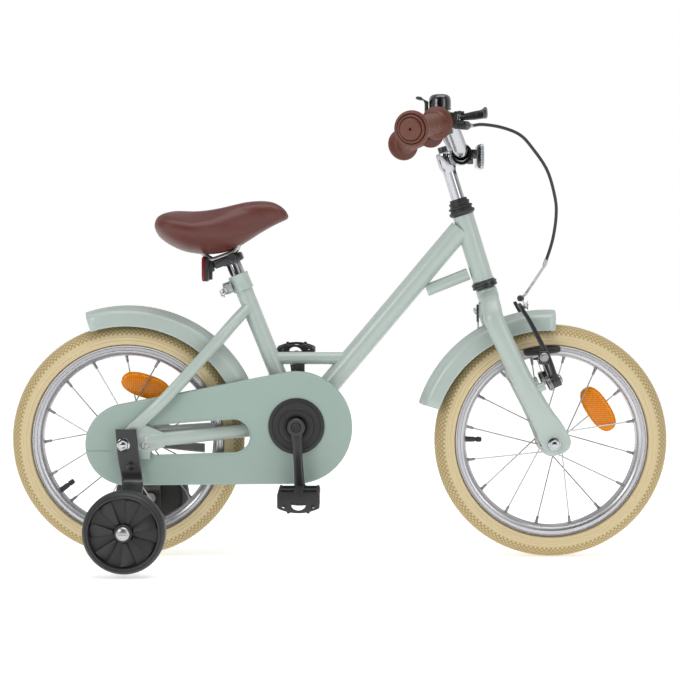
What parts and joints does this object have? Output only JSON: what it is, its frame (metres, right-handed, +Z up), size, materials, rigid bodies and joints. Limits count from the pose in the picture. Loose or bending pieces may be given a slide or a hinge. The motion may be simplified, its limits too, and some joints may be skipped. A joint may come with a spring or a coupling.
{
  "type": "kids bike",
  "caption": "Low step-through kids bike with stabiliser wheels, full chain guard, mudguards, front rim brake, bell and cream balloon tyres.",
  "frame": {"origin": "on the ground, midway between the two axles and on the bike's middle plane", "axes": "+X forward, +Z up, -Y the rider's right, which is the side with the chain"},
  "size_m": [0.979, 0.46, 0.683],
  "materials": {
    "amber_reflector": "clear moulded amber",
    "black_metal": "satin black enamel",
    "black_plastic": "matt moulded plastic",
    "brown_grip": "matt moulded rubber",
    "brown_saddle": "smooth vinyl",
    "chrome": "polished plating",
    "clear_reflector": "clear moulded lens",
    "cream_rubber": "matt cream rubber",
    "mint_paint": "gloss mint enamel",
    "red_reflector": "clear moulded red",
    "rim_alloy": "satin alloy",
    "sage_guard": "satin moulded plastic",
    "zinc_steel": "zinc plated"
  },
  "bodies": {
    "frame_body": {"frame": "mint_paint", "headset_lower_cup": "black_metal", "bottom_bracket_unit": "zinc_steel", "chain_guard": "sage_guard", "chain_guard_cap": "black_plastic", "chain": "zinc_steel", "rear_mudguard": "mint_paint", "seat_clamp": "mint_paint", "coaster_brake_arm": "zinc_steel", "rear_axle": "zinc_steel", "right_stabiliser_bracket": "black_metal", "left_stabiliser_bracket": "black_metal", "right_stabiliser_bolt": "chrome", "left_stabiliser_bolt": "chrome"},
    "steering": {"fork": "mint_paint", "headset_boot": "black_plastic", "stem": "chrome", "stem_bolt": "black_metal", "handlebar": "chrome", "right_grip": "brown_grip", "left_grip": "brown_grip", "bell": "black_plastic", "brake_lever_bracket": "black_plastic", "front_reflector": "clear_reflector", "front_reflector_bracket": "black_plastic", "brake_cable": "black_plastic", "front_mudguard": "mint_paint", "front_axle": "zinc_steel"},
    "front_wheel": {"front_tyre": "cream_rubber", "front_rim": "rim_alloy", "front_hub": "zinc_steel", "front_valve": "black_plastic", "front_wheel_reflector": "amber_reflector"},
    "rear_wheel": {"rear_tyre": "cream_rubber", "rear_rim": "rim_alloy", "rear_hub": "zinc_steel", "rear_valve": "black_plastic", "rear_wheel_reflector": "amber_reflector"},
    "crankset": {"crank_spindle": "zinc_steel", "chainring": "black_metal", "right_crank": "black_metal", "left_crank": "black_metal"},
    "sprocket": {"rear_sprocket": "zinc_steel"},
    "right_pedal_body": {"right_pedal": "black_plastic"},
    "left_pedal_body": {"left_pedal": "black_plastic"},
    "right_stabiliser": {"right_stabiliser_wheel": "black_plastic"},
    "left_stabiliser": {"left_stabiliser_wheel": "black_plastic"},
    "brake_lever_body": {"brake_lever": "black_metal"},
    "right_brake": {"right_brake_arm": "black_metal", "right_brake_pad": "black_plastic"},
    "left_brake": {"left_brake_arm": "black_metal", "left_brake_pad": "black_plastic", "brake_noodle": "zinc_steel"},
    "bell_thumb": {"bell_lever": "black_plastic"},
    "seat": {"seat_post": "chrome", "saddle_clamp": "black_metal", "saddle": "brown_saddle", "rear_reflector": "red_reflector", "rear_reflector_bracket": "black_plastic"},
    "clamp_lever": {"seat_clamp_lever": "chrome"}
  },
  "joints": [
    {"name": "steering_turn", "type": "hinge", "parent": "frame_body", "child": "steering", "pos_m": [0.2142, 0, 0.4128], "axis": [-0.2994, 0, 0.9541], "range_deg": [-60, 60]},
    {"name": "front_wheel_turn", "type": "hinge", "parent": "steering", "child": "front_wheel", "pos_m": [0.3155, 0, 0.174], "axis": [0, 1, 0], "continuous": true},
    {"name": "rear_wheel_turn", "type": "hinge", "parent": "frame_body", "child": "rear_wheel", "pos_m": [-0.3155, 0, 0.174], "axis": [0, 1, 0], "continuous": true},
    {"name": "crank_turn", "type": "hinge", "parent": "frame_body", "child": "crankset", "pos_m": [-0.063, 0, 0.2], "axis": [0, 1, 0], "continuous": true},
    {"name": "sprocket_turn", "type": "hinge", "parent": "frame_body", "child": "sprocket", "pos_m": [-0.3155, 0, 0.174], "axis": [0, 1, 0], "continuous": true},
    {"name": "right_pedal_turn", "type": "hinge", "parent": "crankset", "child": "right_pedal_body", "pos_m": [-0.05722, -0.072, 0.10818], "axis": [0, 1, 0], "continuous": true},
    {"name": "left_pedal_turn", "type": "hinge", "parent": "crankset", "child": "left_pedal_body", "pos_m": [-0.06878, 0.072, 0.29182], "axis": [0, 1, 0], "continuous": true},
    {"name": "right_stabiliser_turn", "type": "hinge", "parent": "frame_body", "child": "right_stabiliser", "pos_m": [-0.3005, -0.19, 0.0644], "axis": [0, 1, 0], "continuous": true},
    {"name": "left_stabiliser_turn", "type": "hinge", "parent": "frame_body", "child": "left_stabiliser", "pos_m": [-0.3005, 0.19, 0.0644], "axis": [0, 1, 0], "continuous": true},
    {"name": "brake_lever_squeeze", "type": "hinge", "parent": "steering", "child": "brake_lever_body", "pos_m": [0.172, -0.106, 0.649], "axis": [0, 0, -1], "range_deg": [0, 20], "stiffness_Nm_per_rad": 0.6},
    {"name": "right_brake_close", "type": "hinge", "parent": "steering", "child": "right_brake", "pos_m": [0.303, -0.052, 0.2605], "axis": [-0.9139, 0, -0.406], "range_deg": [0, 2.1]},
    {"name": "left_brake_close", "type": "hinge", "parent": "steering", "child": "left_brake", "pos_m": [0.303, 0.052, 0.2605], "axis": [0.9139, 0, 0.406], "range_deg": [0, 2.1]},
    {"name": "bell_press", "type": "hinge", "parent": "steering", "child": "bell_thumb", "pos_m": [0.1256, -0.086, 0.66171], "axis": [0, 0, 1], "range_deg": [-18, 0], "stiffness_Nm_per_rad": 0.05},
    {"name": "seat_height", "type": "slide", "parent": "frame_body", "child": "seat", "axis": [-0.3714, 0, 0.9285], "range_m": [-0.01, 0.05]},
    {"name": "clamp_lever_open", "type": "hinge", "parent": "frame_body", "child": "clamp_lever", "pos_m": [-0.16578, -0.014, 0.40176], "axis": [-0.3714, 0, 0.9285], "range_deg": [0, 150]}
  ],
  "couplings": [
    {"joint": "sprocket_turn", "follows": "crank_turn", "ratio": 1.75},
    {"joint": "right_brake_close", "follows": "brake_lever_squeeze", "ratio": 0.1},
    {"joint": "left_brake_close", "follows": "brake_lever_squeeze", "ratio": 0.1}
  ]
}
